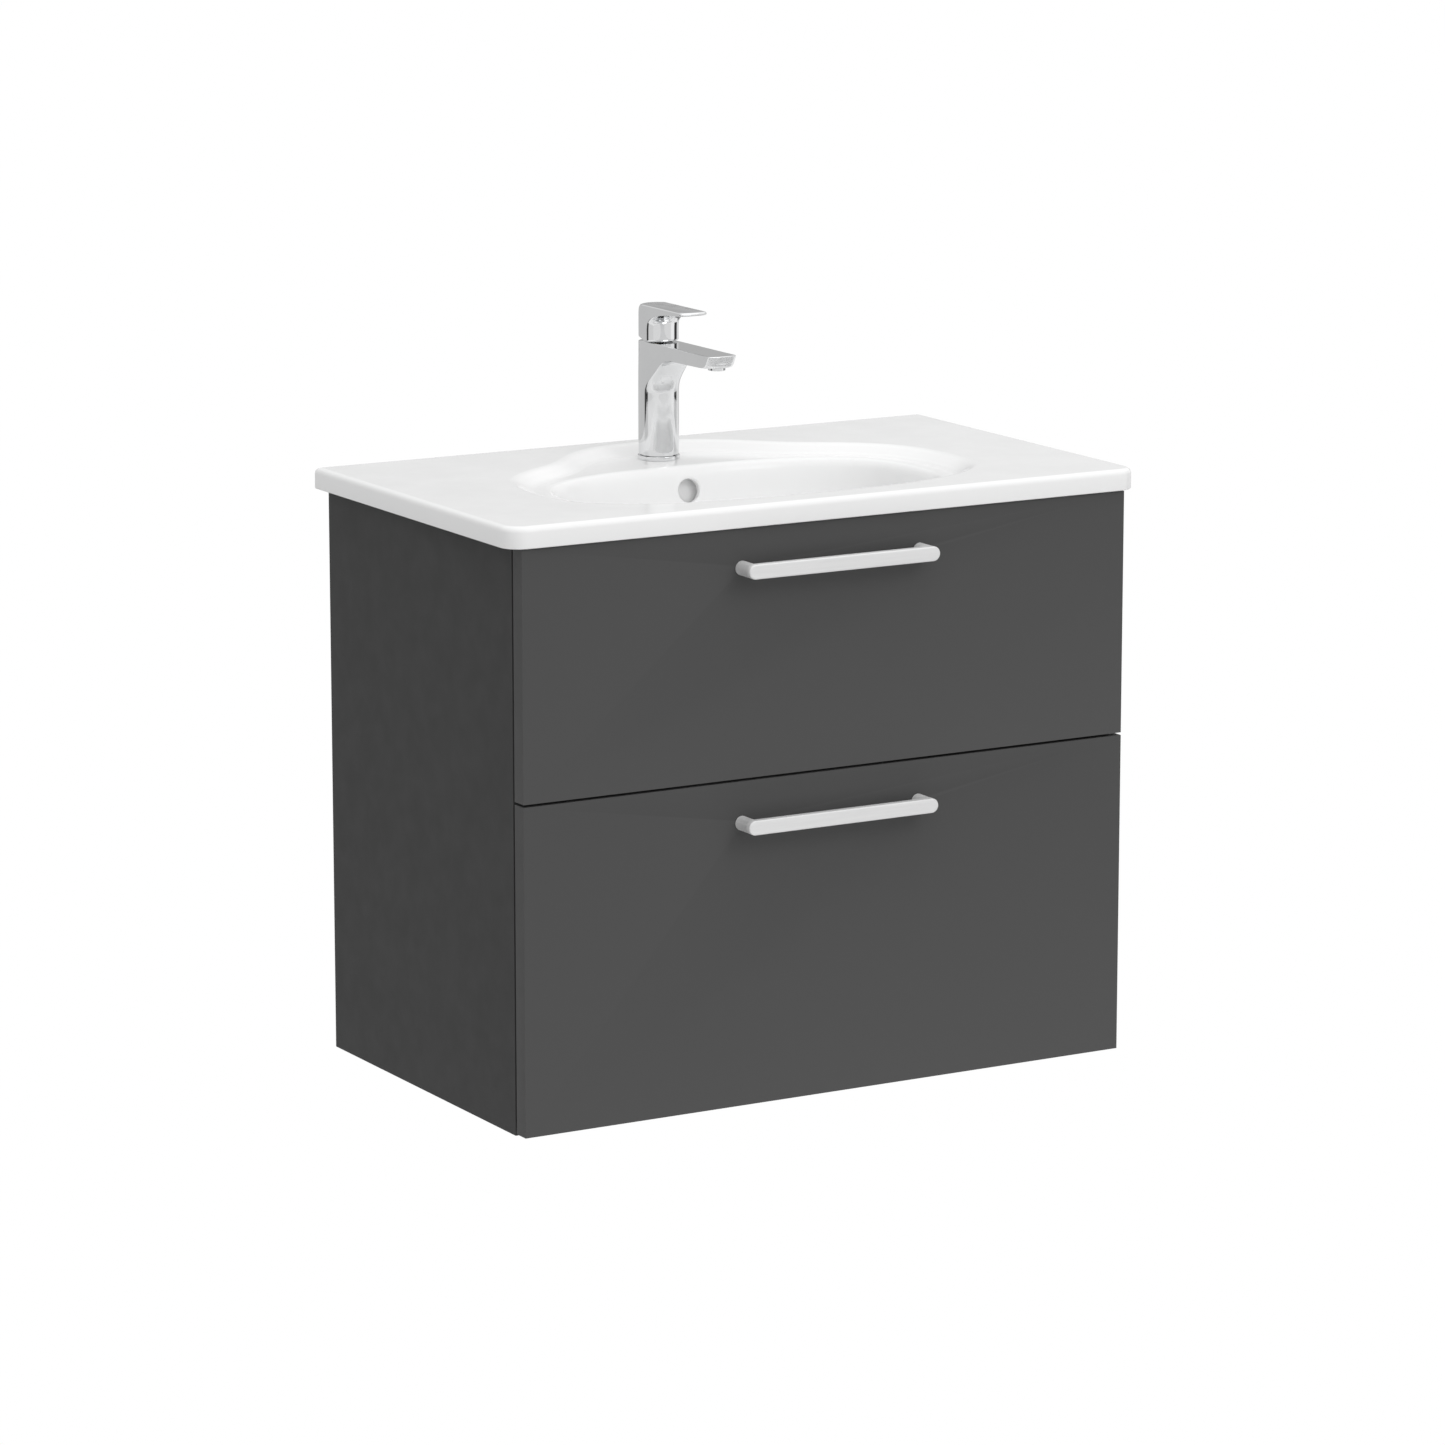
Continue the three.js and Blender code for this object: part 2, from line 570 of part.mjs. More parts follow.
// ---------------------------------------------------------------- handles
function handle(name, z) {
  const face = FRONT_FACE;
  const front = face - HANDLE_PROJECTION;
  const outline = [
    ...arcPoints(-HANDLE_HALF_SPAN, z, HANDLE_RADIUS, 90, 270, 8),
    ...arcPoints(HANDLE_HALF_SPAN, z, HANDLE_RADIUS, -90, 90, 8),
  ];
  let bar = toSolid(alongY(outline, front, front + HANDLE_BAR));
  for (const [label, side] of SIDES) {
    const x = side * HANDLE_HALF_SPAN;
    bar = bar.add(toSolid(pinY(x, z, front + HANDLE_BAR - 1, face, HANDLE_RADIUS - 0.05)))
      .subtract(toSolid(pinY(x, z, face - 16, face + 1, 2.3, 16)));
    const shank = toSolid(pinY(x, z, face - 14, FRONT_BACK + GAP, 2, 16));
    const head = toSolid(pinY(x, z, FRONT_BACK + GAP, FRONT_BACK + 2.6, 4, 16));
    add(`${name}_screw_${label}`, toGeometry(shank.add(head)), 'zinc');
  }
  add(name, toGeometry(bar), 'satin');
}

// ---------------------------------------------------------------- drawers
function drawerFront(name, [z0, z1], handleZ) {
  let front = toSolid(block([-FRONT_WIDTH / 2, FRONT_FACE, z0], [FRONT_WIDTH / 2, FRONT_BACK, z1]));
  for (const side of [-1, 1]) {
    const x = side * HANDLE_HALF_SPAN;
    front = front.subtract(toSolid(pinY(x, handleZ, FRONT_FACE - 1, FRONT_BACK + 1, 2.5)));
  }
  add(name, toGeometry(front), 'anthracite');
}

function drawerSides(prefix, box) {
  for (const [label, side] of SIDES) {
    const board = sidedBlock(
      side,
      [BOX_HALF - BOX_BOARD, FRONT_BACK, box.bottom],
      [BOX_HALF, BOX_BACK, box.top],
    );
    add(`${prefix}_drawer_side_${label}`, board, 'drawerGrey');
  }
}

function upperDrawer() {
  drawerFront('upper_drawer_front', UPPER_FRONT, UPPER_HANDLE_Z);
  handle('upper_handle', UPPER_HANDLE_Z);
  drawerSides('upper', UPPER_BOX);
  const inner = BOX_HALF - BOX_BOARD;
  const { bottom, top } = UPPER_BOX;
  const floorTop = bottom + BOX_BOTTOM;
  const edge = CUTOUT_HALF + SURROUND_WALL;
  const radius = 40;
  // floor board with a round-cornered cut-out that is open at the back
  const floor = [
    [-inner, BOX_BACK], [-inner, FRONT_BACK], [inner, FRONT_BACK], [inner, BOX_BACK], [edge, BOX_BACK],
    ...arcPoints(edge - radius, CUTOUT_FRONT + radius, radius, 0, -90, 6),
    ...arcPoints(-edge + radius, CUTOUT_FRONT + radius, radius, -90, -180, 6),
    [-edge, BOX_BACK],
  ];
  add('upper_drawer_bottom', upright(floor, bottom, floorTop), 'drawerGrey');
  const shrunk = radius - SURROUND_WALL;
  const wall = [
    [edge - GAP, BOX_BACK],
    ...arcPoints(edge - radius, CUTOUT_FRONT + radius, radius - GAP, 0, -90, 6),
    ...arcPoints(-edge + radius, CUTOUT_FRONT + radius, radius - GAP, -90, -180, 6),
    [-edge + GAP, BOX_BACK], [-CUTOUT_HALF, BOX_BACK],
    ...arcPoints(-edge + radius, CUTOUT_FRONT + radius, shrunk, -180, -90, 6),
    ...arcPoints(edge - radius, CUTOUT_FRONT + radius, shrunk, -90, 0, 6),
    [CUTOUT_HALF, BOX_BACK],
  ];
  add('siphon_surround', upright(wall, bottom, top), 'plastic');
  for (const [label, side] of SIDES) {
    const board = sidedBlock(side, [edge, BOX_BACK - BOX_BOARD, floorTop], [inner, BOX_BACK, top]);
    add(`upper_drawer_back_${label}`, board, 'drawerGrey');
  }
}

function lowerDrawer() {
  drawerFront('lower_drawer_front', LOWER_FRONT, LOWER_HANDLE_Z);
  handle('lower_handle', LOWER_HANDLE_Z);
  drawerSides('lower', LOWER_BOX);
  const inner = BOX_HALF - BOX_BOARD;
  const { bottom, top } = LOWER_BOX;
  const floorTop = bottom + BOX_BOTTOM;
  const floor = block([-inner, FRONT_BACK, bottom], [inner, BOX_BACK, floorTop]);
  add('lower_drawer_bottom', floor, 'drawerGrey');
  add('lower_drawer_back',
    block([-inner, BOX_BACK - BOX_BOARD, floorTop], [inner, BOX_BACK, top]), 'drawerGrey');
}

// ---------------------------------------------------------------- runners
// C-shaped strip along Y: web at x = web, lips reaching to x = lip, on the right-hand side.
function channel(side, web, lip, halfHeight, z) {
  const g = RUNNER_GAUGE;
  const inward = Math.sign(lip - web);
  const outline = [
    [web, z - halfHeight], [web, z + halfHeight], [lip, z + halfHeight], [lip, z + halfHeight - g],
    [web + inward * g, z + halfHeight - g], [web + inward * g, z - halfHeight + g],
    [lip, z - halfHeight + g], [lip, z - halfHeight],
  ];
  const start = CARCASS_FRONT + 2;
  return alongY(outline.map(([x, h]) => [side * x, h]), start, start + RUNNER_LENGTH);
}

function runners(prefix, box) {
  const sections = {
    fixed: [INNER_HALF, INNER_HALF - 7.5, 22.5],
    middle: [INNER_HALF - 4.3, INNER_HALF - 10.7, 19],
    drawer: [BOX_HALF + GAP, BOX_HALF + 5.4, 14],
  };
  for (const [label, side] of SIDES) {
    for (const [part, section] of Object.entries(sections)) {
      add(`${prefix}_runner_${part}_${label}`, channel(side, ...section, box.runner), 'zinc');
    }
  }
}

carcass();
hanging();
basin();
waste();
tap();
upperDrawer();
lowerDrawer();
runners('upper', UPPER_BOX);
runners('lower', LOWER_BOX);

export default vanity;
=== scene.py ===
"""Looks of the wall-hung bathroom vanity cabinet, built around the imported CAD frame.

The row frame has its origin on the wall, +Z up, and the drawers open towards -Y. Shapes are
given in millimetres, with heights above the carcass underside as in the design, and place()
turns them into metres in the row frame.
"""
import json
import math

import bmesh
import bpy
import numpy as np
from mathutils import Matrix, Vector


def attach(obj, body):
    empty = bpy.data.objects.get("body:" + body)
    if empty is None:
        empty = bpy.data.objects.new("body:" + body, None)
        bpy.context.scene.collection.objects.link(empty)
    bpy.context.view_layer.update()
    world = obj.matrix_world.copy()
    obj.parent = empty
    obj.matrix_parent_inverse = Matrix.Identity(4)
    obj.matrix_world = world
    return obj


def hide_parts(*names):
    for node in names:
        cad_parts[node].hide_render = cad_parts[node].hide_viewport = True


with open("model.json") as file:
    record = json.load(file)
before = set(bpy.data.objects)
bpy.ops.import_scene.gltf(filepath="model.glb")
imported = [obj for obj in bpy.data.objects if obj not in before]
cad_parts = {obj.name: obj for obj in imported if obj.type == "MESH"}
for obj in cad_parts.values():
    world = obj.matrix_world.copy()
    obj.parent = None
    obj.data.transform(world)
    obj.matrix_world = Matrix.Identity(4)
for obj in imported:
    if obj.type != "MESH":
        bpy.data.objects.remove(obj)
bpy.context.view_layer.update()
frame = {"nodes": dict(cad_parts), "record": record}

MM = 0.001
RAIL_HEIGHT = 590.0       # row origin above the carcass underside

# basin
BASIN_WIDTH, BASIN_DEPTH, CARCASS_TOP, DECK = 800.0, 468.0, 650.0, 674.0
CORNER_FRONT, CORNER_BACK, TOP_ROUND, LOW_ROUND = 24.0, 3.0, 7.0, 1.5     # radii of the slab
BOWL_Y = -283.0           # centre of the bowl and of the soft recess round it
# ovals: half width a, depths to the rear and front of the centre, and n for how square it is
RECESS = {"a": 272.0, "rear": 182.0, "front": 147.0, "n": 2.6}
BOWL = {"a": 224.0, "rear": 141.0, "front": 125.0, "n": 2.7}
TAP_BAY_DEPTH, TAP_BAY_HALF = 80.0, 115.0       # the recess widens backwards round the tap
STEP_WIDTH, LEDGE_DROP, BOWL_DEPTH = 30.0, 11.0, 128.0
LEDGE = DECK - LEDGE_DROP
WALL = 10.0
WASTE_HOLE = 22.6
WASTE_SEAT = DECK - BOWL_DEPTH
SEAT_EDGE = WASTE_HOLE + 9.8      # outer radius of the flat ring round the waste hole
FLOOR_EDGE, FLOOR_RIM = 54.0, DECK - 126    # where the bowl's wall meets its floor
TAP_HOLE = 17.5

# tap; its heights are above the ledge it stands on
TAP_Y = -79.0
TAP_RADIUS, LEVER_REAR = 23.2, 22.8
AERATOR_REACH = 133.0
CARTRIDGE_CHAMBER = 18.0
LEVER_FOOT, LEVER_SHOULDER = 138.0, 150.0
LEVER_SCREW, LEVER_SCREW_RADIUS = 163.0, 2.8
RELIEF_START, RELIEF_SLOPE = -4.0, 0.307    # the lever foot rises to the rear so it can tilt

# overflow
OVERFLOW_Y, OVERFLOW_Z = -149.0, 635.5
OVERFLOW_TILT = math.atan2(5, 29)
OVERFLOW_RADIUS, OVERFLOW_LIP = 13.6, 1.6
DUCT_FRONT, DUCT_BACK, DUCT_SHELL = 6.0, 13.0, 20.0     # depths behind the bowl's wall
DUCT_HALF, SHELL_HALF = 17.0, 24.0                      # half widths
COLLAR = 16.0             # thickness of the floor round the waste hole
BOWL_WALL_SECTION = (     # distance in from the rim, height
    (0, LEDGE - 3), (4, LEDGE - 10), (9, DECK - 50), (17, DECK - 82), (33, DECK - 107),
    (60, DECK - 119),
)
BOWL_FLOOR_SECTION = ((FLOOR_EDGE, FLOOR_RIM), (WASTE_HOLE + 10, WASTE_SEAT))     # radius, height

# fronts and handles
FRONT_FACE = -463.0
HANDLE_HALF_SPAN, HANDLE_RADIUS, HANDLE_PROJECTION = 113.0, 8.2, 31.0
HANDLE_BAR, HANDLE_SOFT = 9.0, 1.6          # thickness of the bar, radius of its edges
HANDLE_Z = {"upper": 605.5, "lower": 322.5}


# ------------------------------------------------------------------ camera, light, floor
CAMERA_AZIMUTH, CAMERA_ELEVATION = math.radians(-29.988), math.radians(11.688)
CAMERA_PLACE = Vector((-3.3074, -5.9563, 1.1592))
CAMERA_LENS, CAMERA_SENSOR = 148.49, 36.0
FLOOR_Z, FLOOR_RADIUS, FLOOR_GLOW = -2.0, 2.4, 0.15


def make_camera():
    data = bpy.data.cameras.new("camera")
    data.lens = CAMERA_LENS
    data.sensor_width = CAMERA_SENSOR
    data.clip_end = 60.0
    camera = bpy.data.objects.new("camera", data)
    bpy.context.scene.collection.objects.link(camera)
    flat = math.cos(CAMERA_ELEVATION)
    back = Vector((math.sin(CAMERA_AZIMUTH) * flat, -math.cos(CAMERA_AZIMUTH) * flat,
                   math.sin(CAMERA_ELEVATION)))
    camera.location = CAMERA_PLACE
    camera.rotation_euler = back.to_track_quat("Z", "Y").to_euler()
    bpy.context.scene.camera = camera


def area_light(name, location, target, size, power):
    data = bpy.data.lights.new(name, "AREA")
    data.shape = "RECTANGLE"
    data.size, data.size_y = size
    data.energy = power
    light = bpy.data.objects.new(name, data)
    bpy.context.scene.collection.objects.link(light)
    light.location = location
    aim = Vector(location) - Vector(target)
    light.rotation_euler = aim.to_track_quat("Z", "Y").to_euler()


# Grey level of the studio's walls by compass angle from +X, in degrees, with the front of the
# object at -90: a pale front, a white softbox to its right, a black flag on each side for the
# dark lines in the chrome, and dimmer walls behind.
STUDIO_WALLS = (
    (-180, 0.72), (-144, 0.72), (-136, 0.80), (-46, 0.80), (-40, 1.0), (-24, 1.0), (-18, 0.04),
    (1, 0.04), (7, 0.80), (36, 0.70), (48, 0.55), (66, 0.42), (96, 0.60), (150, 0.60), (158, 0.04),
    (174, 0.04), (179, 0.72),
)
STUDIO_CEILING, STUDIO_BELOW = 1.07, 0.22
CEILING_FADE, BELOW_FADE = (0.38, 0.68), (-0.52, -0.36)     # as the sine of the elevation
STUDIO_STRENGTH = 1.07


def make_world():
    """White studio: plain white behind the object, graded walls and ceiling for light and gloss."""
    world = bpy.data.worlds.new("studio")
    bpy.context.scene.world = world
    world.use_nodes = True
    tree = world.node_tree
    tree.nodes.clear()

    def node(kind):
        return tree.nodes.new("ShaderNode" + kind)

    def ranged(source, low, high):
        made = node("MapRange")
        made.inputs["From Min"].default_value = low
        made.inputs["From Max"].default_value = high
        tree.links.new(source, made.inputs["Value"])
        return made.outputs["Result"]

    def blend(factor):
        """Colour mix; returns its two colour inputs and its output."""
        made = node("Mix")
        made.data_type = "RGBA"
        tree.links.new(factor, made.inputs[0])
        return made.inputs[6], made.inputs[7], made.outputs[2]

    split = node("SeparateXYZ")
    tree.links.new(node("TexCoord").outputs["Generated"], split.inputs[0])
    compass = node("Math")
    compass.operation = "ARCTAN2"
    tree.links.new(split.outputs["Y"], compass.inputs[0])
    tree.links.new(split.outputs["X"], compass.inputs[1])
    walls = node("ValToRGB")
    walls.color_ramp.interpolation = "EASE"
    stops = walls.color_ramp.elements
    stops.remove(stops[1])
    for angle, grey in STUDIO_WALLS[1:]:
        stops.new((angle + 180) / 360).color = (grey, grey, grey, 1)
    stops[0].color = (STUDIO_WALLS[0][1],) * 3 + (1,)
    tree.links.new(ranged(compass.outputs[0], -math.pi, math.pi), walls.inputs["Fac"])
    low, high, dome = blend(ranged(split.outputs["Z"], *CEILING_FADE))
    tree.links.new(walls.outputs["Color"], low)
    high.default_value = (STUDIO_CEILING, STUDIO_CEILING, STUDIO_CEILING, 1)
    low, high, whole = blend(ranged(split.outputs["Z"], *BELOW_FADE))
    low.default_value = (STUDIO_BELOW, STUDIO_BELOW, STUDIO_BELOW, 1)
    tree.links.new(dome, high)
    light = node("Background")
    light.inputs["Strength"].default_value = STUDIO_STRENGTH
    tree.links.new(whole, light.inputs["Color"])
    plain = node("Background")
    plain.inputs["Color"].default_value = (1, 1, 1, 1)
    mix = node("MixShader")
    tree.links.new(node("LightPath").outputs["Is Camera Ray"], mix.inputs["Fac"])
    tree.links.new(light.outputs[0], mix.inputs[1])
    tree.links.new(plain.outputs[0], mix.inputs[2])
    tree.links.new(mix.outputs[0], node("OutputWorld").inputs["Surface"])


def make_floor():
    rows = [[(radius * math.cos(a), radius * math.sin(a), FLOOR_Z) for a in full_turn(96)]
            for radius in (0.01, FLOOR_RADIUS)]
    floor = grid_object("floor", rows, close_cols=True)
    paint = Paint("pale_floor", (0.9, 0.9, 0.9), 0.8)
    paint.shader.inputs["Emission Color"].default_value = (1, 1, 1, 1)
    paint.shader.inputs["Emission Strength"].default_value = FLOOR_GLOW
    floor.data.materials.append(paint.material)


def make_studio():
    scene = bpy.context.scene
    scene.view_settings.view_transform = "Standard"
    scene.view_settings.look = "None"
    make_world()
    make_floor()
    area_light("key", (1.3, -3.6, 2.3), target=(0, -0.3, -0.1), size=(1.6, 1.6), power=22)
    area_light("top", (0.2, -0.8, 2.6), target=(0, -0.25, 0), size=(2.2, 1.6), power=8)


# ------------------------------------------------------------------ materials
FRONT_GREY, SHADED_SIDE_GREY = 0.061, 0.037      # the side panels take a darker copy of the same lacquer: painted shade for their less-lit side


class Paint:
    """A Principled material with object-space noise helpers."""

    def __init__(self, name, colour, roughness, metallic=0.0):
        self.material = bpy.data.materials.new(name)
        self.material.use_nodes = True
        self.tree = self.material.node_tree
        self.shader = self.tree.nodes["Principled BSDF"]
        self.shader.inputs["Base Color"].default_value = (*colour, 1)
        self.shader.inputs["Roughness"].default_value = roughness
        self.shader.inputs["Metallic"].default_value = metallic
        self.colour = colour
        self.normal = None

    def node(self, kind, **inputs):
        made = self.tree.nodes.new("ShaderNode" + kind)
        for socket, value in inputs.items():
            made.inputs[socket].default_value = value
        return made

    def link(self, source, target):
        self.tree.links.new(source, target)

    def coordinates(self, stretch=(1, 1, 1)):
        mapping = self.node("Mapping", Scale=stretch)
        self.link(self.node("TexCoord").outputs["Object"], mapping.inputs["Vector"])
        return mapping.outputs["Vector"]

    def noise(self, scale, detail=3.0, stretch=(1, 1, 1), roughness=0.5):
        made = self.node("TexNoise", Scale=scale, Detail=detail, Roughness=roughness)
        self.link(self.coordinates(stretch), made.inputs["Vector"])
        return made.outputs["Fac"]

    def ramp(self, value, low, high, start=0.3, end=0.7):
        made = self.node("MapRange")
        made.inputs["From Min"].default_value = start
        made.inputs["From Max"].default_value = end
        made.inputs["To Min"].default_value = low
        made.inputs["To Max"].default_value = high
        self.link(value, made.inputs["Value"])
        return made.outputs["Result"]

    def vary_roughness(self, value, low, high):
        self.link(self.ramp(value, low, high), self.shader.inputs["Roughness"])

    def vary_colour(self, value, other, start=0.3, end=0.7):
        """Blends from the colour so far to the other one as value goes from start to end."""
        mix = self.node("Mix")
        mix.data_type = "RGBA"
        factor, so_far, varied = mix.inputs[0], mix.inputs[6], mix.inputs[7]
        base = self.shader.inputs["Base Color"]
        if base.is_linked:
            self.link(base.links[0].from_socket, so_far)
        else:
            so_far.default_value = (*self.colour, 1)
        varied.default_value = (*other, 1)
        self.link(self.ramp(value, 0.0, 1.0, start, end), factor)
        self.link(mix.outputs[2], base)

    def bump(self, value, strength, distance):
        made = self.node("Bump", Strength=strength, Distance=distance)
        self.link(value, made.inputs["Height"])
        if self.normal is not None:
            self.link(self.normal, made.inputs["Normal"])
        self.normal = made.outputs["Normal"]
        self.link(self.normal, self.shader.inputs["Normal"])

    def worn_edges(self, other, start=0.53, end=0.62):
        self.vary_colour(self.node("NewGeometry").outputs["Pointiness"], other, start, end)


def anthracite(name, grey):
    paint = Paint(name, (grey, grey, grey), 0.5)
    paint.shader.inputs["Specular IOR Level"].default_value = 0.08
    paint.vary_colour(paint.noise(7, 4), (grey * 0.94, grey * 0.945, grey * 0.95))
    paint.worn_edges((grey * 1.45, grey * 1.45, grey * 1.45))
    paint.vary_roughness(paint.noise(35, 5), 0.44, 0.56)
    paint.bump(paint.noise(900, 2), 0.25, 0.00012)
    paint.bump(paint.noise(120, 2), 0.12, 0.0003)
    return paint.material


def drawer_board():
    paint = Paint("drawer_grey", (0.40, 0.41, 0.41), 0.55)
    weave_x = paint.noise(400, 2, (1, 8, 8))
    weave_y = paint.noise(400, 2, (8, 1, 8))
    paint.vary_colour(weave_x, (0.33, 0.34, 0.34))
    paint.vary_colour(weave_y, (0.45, 0.455, 0.455), 0.45, 0.8)
    paint.worn_edges((0.5, 0.5, 0.5))
    paint.vary_roughness(paint.noise(60, 4), 0.48, 0.62)
    paint.bump(weave_x, 0.25, 0.0002)
    return paint.material


def ceramic():
    paint = Paint("white_ceramic", (0.85, 0.85, 0.85), 0.16)
    paint.shader.inputs["Specular IOR Level"].default_value = 0.2
    paint.vary_colour(paint.noise(5, 3), (0.84, 0.842, 0.842))
    paint.vary_roughness(paint.noise(18, 4), 0.12, 0.2)
    paint.bump(paint.noise(22, 1), 0.06, 0.0006)
    paint.bump(paint.noise(700, 1), 0.04, 0.00006)
    return paint.material


def chrome():
    paint = Paint("chrome", (0.77, 0.775, 0.78), 0.05, 1.0)
    paint.vary_roughness(paint.noise(70, 5), 0.03, 0.09)
    paint.vary_colour(paint.noise(25, 3), (0.74, 0.745, 0.75))
    paint.bump(paint.noise(60, 2), 0.03, 0.00006)
    return paint.material


def satin_aluminium():
    paint = Paint("satin_handle", (0.76, 0.76, 0.76), 0.45, 0.15)
    brushed = paint.noise(260, 3, (0.06, 1, 1))
    paint.vary_colour(brushed, (0.72, 0.72, 0.722))
    paint.vary_roughness(brushed, 0.36, 0.5)
    paint.bump(paint.noise(1400, 2, (0.08, 1, 1)), 0.15, 0.00005)
    return paint.material


def zinc():
    paint = Paint("zinc_steel", (0.62, 0.64, 0.66), 0.32, 0.9)
    paint.vary_colour(paint.noise(90, 5, roughness=0.7), (0.50, 0.53, 0.56))
    paint.vary_roughness(paint.noise(140, 4), 0.24, 0.46)
    paint.bump(paint.noise(500, 2, (1, 0.1, 1)), 0.15, 0.00008)
    return paint.material


def brass():
    paint = Paint("raw_brass", (0.60, 0.42, 0.17), 0.32, 1.0)
    paint.vary_colour(paint.noise(120, 4), (0.50, 0.36, 0.16))
    paint.vary_roughness(paint.noise(200, 3), 0.24, 0.42)
    paint.bump(paint.noise(900, 2, (1, 1, 6)), 0.2, 0.00006)
    return paint.material


def rubber():
    paint = Paint("black_rubber", (0.018, 0.018, 0.018), 0.75)
    paint.vary_roughness(paint.noise(150, 4), 0.66, 0.86)
    paint.vary_colour(paint.noise(60, 4), (0.028, 0.028, 0.028))
    paint.bump(paint.noise(900, 3), 0.3, 0.0001)
    return paint.material


def plastic():
    paint = Paint("grey_plastic", (0.42, 0.43, 0.43), 0.45)
    paint.vary_colour(paint.noise(30, 3), (0.39, 0.40, 0.40))
    paint.vary_roughness(paint.noise(250, 3), 0.38, 0.54)
    paint.bump(paint.noise(1300, 2), 0.25, 0.00006)
    return paint.material


# ------------------------------------------------------------------ mesh helpers
def place(x, y, z):
    """Design point in millimetres, as a point of the row frame in metres."""
    return (x * MM, y * MM, (z - RAIL_HEIGHT) * MM)


def full_turn(count):
    return np.linspace(0, 2 * math.pi, count, endpoint=False)


def quarter_turn(count):
    return np.linspace(0, math.pi / 2, count)


def lifted(level, profile):
    """[r, z] profile whose heights are given above a level."""
    return [(r, level + z) for r, z in profile]


def grid_object(name, rows, close_rows=False, close_cols=False, caps=(False, False), sharp=35):
    """Smooth object from a grid of points in metres; rows and columns may close on themselves,
    caps fills the first and the last row with a face, and edges over 'sharp' degrees stay sharp."""
    height, width = len(rows), len(rows[0])
    points = [tuple(point) for row in rows for point in row]
    faces = []
    for row in range(height if close_rows else height - 1):
        this, above = row * width, (row + 1) % height * width
        for col in range(width if close_cols else width - 1):
            right = (col + 1) % width
            faces.append((this + col, this + right, above + right, above + col))
    if caps[0]:
        faces.append(tuple(reversed(range(width))))
    if caps[1]:
        faces.append(tuple((height - 1) * width + col for col in range(width)))
    mesh = bpy.data.meshes.new(name)
    mesh.from_pydata(points, [], faces)
    made = bmesh.new()
    made.from_mesh(mesh)
    bmesh.ops.recalc_face_normals(made, faces=made.faces)
    made.to_mesh(mesh)
    made.free()
    mesh.validate()
    for polygon in mesh.polygons:
        polygon.use_smooth = True
    mesh.set_sharp_from_angle(angle=math.radians(sharp))
    obj = bpy.data.objects.new(name, mesh)
    bpy.context.scene.collection.objects.link(obj)
    return obj


def rounded(profile, radius, steps=5):
    """Closed [r, z] profile with each corner turned into an arc of at most that radius. Corners
    on the axis and nearly straight ones stay."""
    points = []
    count = len(profile)
    for i, corner in enumerate(profile):
        here = np.array(corner, float)
        before = np.array(profile[i - 1], float) - here
        after = np.array(profile[(i + 1) % count], float) - here
        reach_before, reach_after = np.linalg.norm(before), np.linalg.norm(after)
        before, after = before / reach_before, after / reach_after
        turn = math.acos(max(-1.0, min(1.0, float(before @ after))))
        if here[0] < 1e-6 or turn > math.radians(170):
            points.append(here)
            continue
        setback = min(radius / math.tan(turn / 2), 0.45 * reach_before, 0.45 * reach_after)
        start, end = here + before * setback, here + after * setback
        for t in np.linspace(0, 1, steps + 1):
            points.append((1 - t) ** 2 * start + 2 * t * (1 - t) * here + t * t * end)
    return points


def turned(name, axis_xy, profile, radius=0.4, segments=96):
    """Ring of revolution about an upright axis; the profile closes on itself."""
    outline = rounded(profile, radius)
    x, y = axis_xy
    rows = [[place(x + r * math.cos(a), y + r * math.sin(a), z) for r, z in outline]
            for a in full_turn(segments)]
    return grid_object(name, rows, close_rows=True, close_cols=True, sharp=50)


def turned_solid(name, axis_xy, profile, radius=0.4, segments=96):
    """Solid of revolution whose profile starts and ends on the upright axis."""
    outline = [(max(r, 0.02), z) for r, z in rounded(profile, radius)]
    x, y = axis_xy
    rows = [[place(x + r * math.cos(a), y + r * math.sin(a), z) for a in full_turn(segments)]
            for r, z in outline]
    return grid_object(name, rows, close_cols=True, caps=(True, True), sharp=50)


def combine(obj, other, operation):
    """Boolean with another object, applied at once; the other object is removed."""
    change = obj.modifiers.new("change", "BOOLEAN")
    change.operation = operation
    change.solver = "EXACT"
    change.object = other
    graph = bpy.context.evaluated_depsgraph_get()
    graph.update()
    mesh = bpy.data.meshes.new_from_object(obj.evaluated_get(graph))
    obj.modifiers.clear()
    obj.data = mesh
    bpy.data.objects.remove(other)


def cut(obj, cutter):
    combine(obj, cutter, "DIFFERENCE")


def join(obj, other):
    combine(obj, other, "UNION")


def rod(name, start, end, radius, segments=48):
    """Plain closed cylinder between two points, used as a cutter or joined into a piece."""
    start, end = Vector(start), Vector(end)
    turn = (end - start).to_track_quat("Z", "Y").to_matrix()
    rim = [turn @ Vector((radius * math.cos(a), radius * math.sin(a), 0))
           for a in full_turn(segments)]
    rows = [[place(*(centre + point)) for point in rim] for centre in (start, end)]
    return grid_object(name, rows, close_cols=True, caps=(True, True))


replaced_nodes = set()      # CAD nodes whose look comes from a finer piece


def dress(obj, body, material, slot, *nodes):
    """Gives a piece its material, its body and the CAD nodes it replaces; the slot argument is not
    used.
    """
    obj.data.materials.clear()
    obj.data.materials.append(material)
    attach(obj, body)
    if nodes:
        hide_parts(*nodes)
        replaced_nodes.update(nodes)


